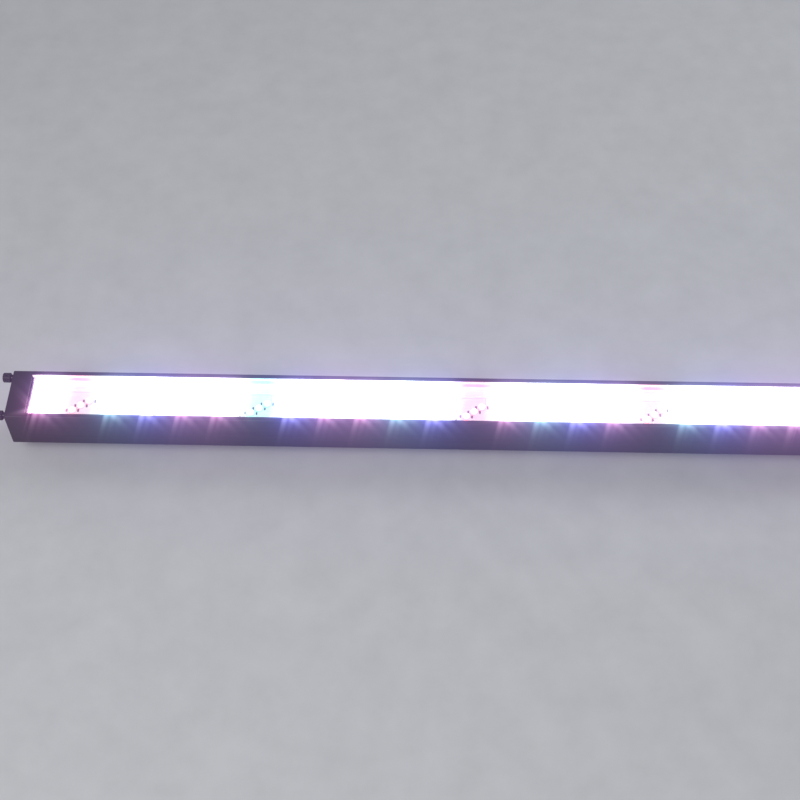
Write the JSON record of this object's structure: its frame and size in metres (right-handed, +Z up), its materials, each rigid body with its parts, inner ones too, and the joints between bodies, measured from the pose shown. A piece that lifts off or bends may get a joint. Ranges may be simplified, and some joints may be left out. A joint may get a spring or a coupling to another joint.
{
  "type": "led strip batten",
  "caption": "Stage light batten, one metre: black U channel, clear front cover over diagonal clusters of round coloured LEDs, moulded end caps with sockets, tilting feet.",
  "frame": {"origin": "middle of the batten's length and width, on the plane the rubber pads stand on", "axes": "+X along the batten, +Y across it, +Z up, the way the light leaves"},
  "size_m": [1.017, 0.064, 0.072],
  "materials": {
    "black_aluminium": "fine textured satin black coat",
    "clear_cover": "clear extruded polycarbonate",
    "seal_rubber": "soft black seal",
    "reflector": "bright rolled reflector strip",
    "board_white": "white solder mask",
    "led_red": "clear epoxy, lit red",
    "led_green": "clear epoxy, lit green",
    "led_blue": "clear epoxy, lit blue",
    "chip_ceramic": "dark glazed chip",
    "connector_white": "moulded nylon",
    "tinned_pin": "tinned",
    "black_plastic": "moulded, lightly textured",
    "zinc_screw": "zinc plated",
    "brass_insert": "turned brass",
    "black_knurl": "knurled, glossy black plate",
    "button_plastic": "moulded key",
    "display_red": "smoked red window",
    "display_black": "digit block",
    "board_green": "green solder mask",
    "ferrite": "taped ferrite core",
    "capacitor_sleeve": "shrink sleeve",
    "heatsink_aluminium": "extruded",
    "fuse_glass": "glass tube",
    "wire_sleeve": "flexible sleeve",
    "washer_nylon": "nylon",
    "bracket_steel": "black powder coat",
    "knob_plastic": "glass-filled, fine grain",
    "pad_rubber": "moulded pad"
  },
  "bodies": {
    "batten": {"housing_profile": "black_aluminium", "front_cover": "clear_cover", "cover_gaskets": "seal_rubber", "side_reflectors": "reflector", "end_reflectors": "reflector", "led_board_1": "board_white", "led_board_2": "board_white", "led_board_3": "board_white", "led_board_4": "board_white", "red_leds": "led_red", "green_leds": "led_green", "blue_leds": "led_blue", "board_resistors": "chip_ceramic", "board_connectors": "connector_white", "board_jumpers": "tinned_pin", "end_cap_left": "black_plastic", "end_cap_right": "black_plastic", "end_gaskets": "seal_rubber", "end_cap_screws": "zinc_screw", "thumbscrew_inserts": "brass_insert", "end_thumbscrews": "black_knurl", "power_inlet": "black_plastic", "power_inlet_pins": "tinned_pin", "power_outlet": "black_plastic", "data_in_socket": "black_plastic", "data_in_pins": "tinned_pin", "data_out_socket": "black_plastic", "socket_screws": "zinc_screw", "rear_cover": "black_aluminium", "rear_cover_screws": "zinc_screw", "display_window": "display_red", "display_module": "display_black", "control_board": "board_green", "menu_switches": "display_black", "psu_board": "board_green", "driver_board": "board_green", "psu_transformer": "ferrite", "psu_capacitors": "capacitor_sleeve", "psu_heatsink": "heatsink_aluminium", "mains_fuse": "fuse_glass", "fuse_clips": "tinned_pin", "board_standoffs": "brass_insert", "board_screws": "zinc_screw", "wiring_harness": "wire_sleeve", "hinge_blocks": "black_aluminium", "hinge_screws": "zinc_screw", "tilt_washers": "washer_nylon"},
    "foot_left": {"foot_left": "bracket_steel", "pivot_bolt_left": "zinc_screw", "foot_pads_left": "pad_rubber"},
    "foot_right": {"foot_right": "bracket_steel", "pivot_bolt_right": "zinc_screw", "foot_pads_right": "pad_rubber"},
    "knob_left": {"knob_left": "knob_plastic"},
    "knob_right": {"knob_right": "knob_plastic"},
    "menu_key": {"button_menu": "button_plastic"},
    "down_key": {"button_down": "button_plastic"},
    "up_key": {"button_up": "button_plastic"},
    "enter_key": {"button_enter": "button_plastic"},
    "data_latch": {"data_out_latch": "button_plastic"}
  },
  "joints": [
    {"name": "foot_left_tilt", "type": "hinge", "parent": "batten", "child": "foot_left", "pos_m": [-0.33, 0, 0.0125], "axis": [1, 0, 0], "range_deg": [-45, 45]},
    {"name": "knob_left_turn", "type": "hinge", "parent": "foot_left", "child": "knob_left", "pos_m": [-0.33, 0, 0.0125], "axis": [1, 0, 0], "continuous": true},
    {"name": "foot_right_tilt", "type": "hinge", "parent": "batten", "child": "foot_right", "pos_m": [0.33, 0, 0.0125], "axis": [1, 0, 0], "range_deg": [-45, 45]},
    {"name": "knob_right_turn", "type": "hinge", "parent": "foot_right", "child": "knob_right", "pos_m": [0.33, 0, 0.0125], "axis": [1, 0, 0], "continuous": true},
    {"name": "menu_key_press", "type": "slide", "parent": "batten", "child": "menu_key", "axis": [0, 0, 1], "range_m": [0, 0.0006], "stiffness_N_per_m": 800},
    {"name": "down_key_press", "type": "slide", "parent": "batten", "child": "down_key", "axis": [0, 0, 1], "range_m": [0, 0.0006], "stiffness_N_per_m": 800},
    {"name": "up_key_press", "type": "slide", "parent": "batten", "child": "up_key", "axis": [0, 0, 1], "range_m": [0, 0.0006], "stiffness_N_per_m": 800},
    {"name": "enter_key_press", "type": "slide", "parent": "batten", "child": "enter_key", "axis": [0, 0, 1], "range_m": [0, 0.0006], "stiffness_N_per_m": 800},
    {"name": "data_latch_press", "type": "slide", "parent": "batten", "child": "data_latch", "axis": [0, 0, -1], "range_m": [0, 0.0015], "stiffness_N_per_m": 600}
  ]
}
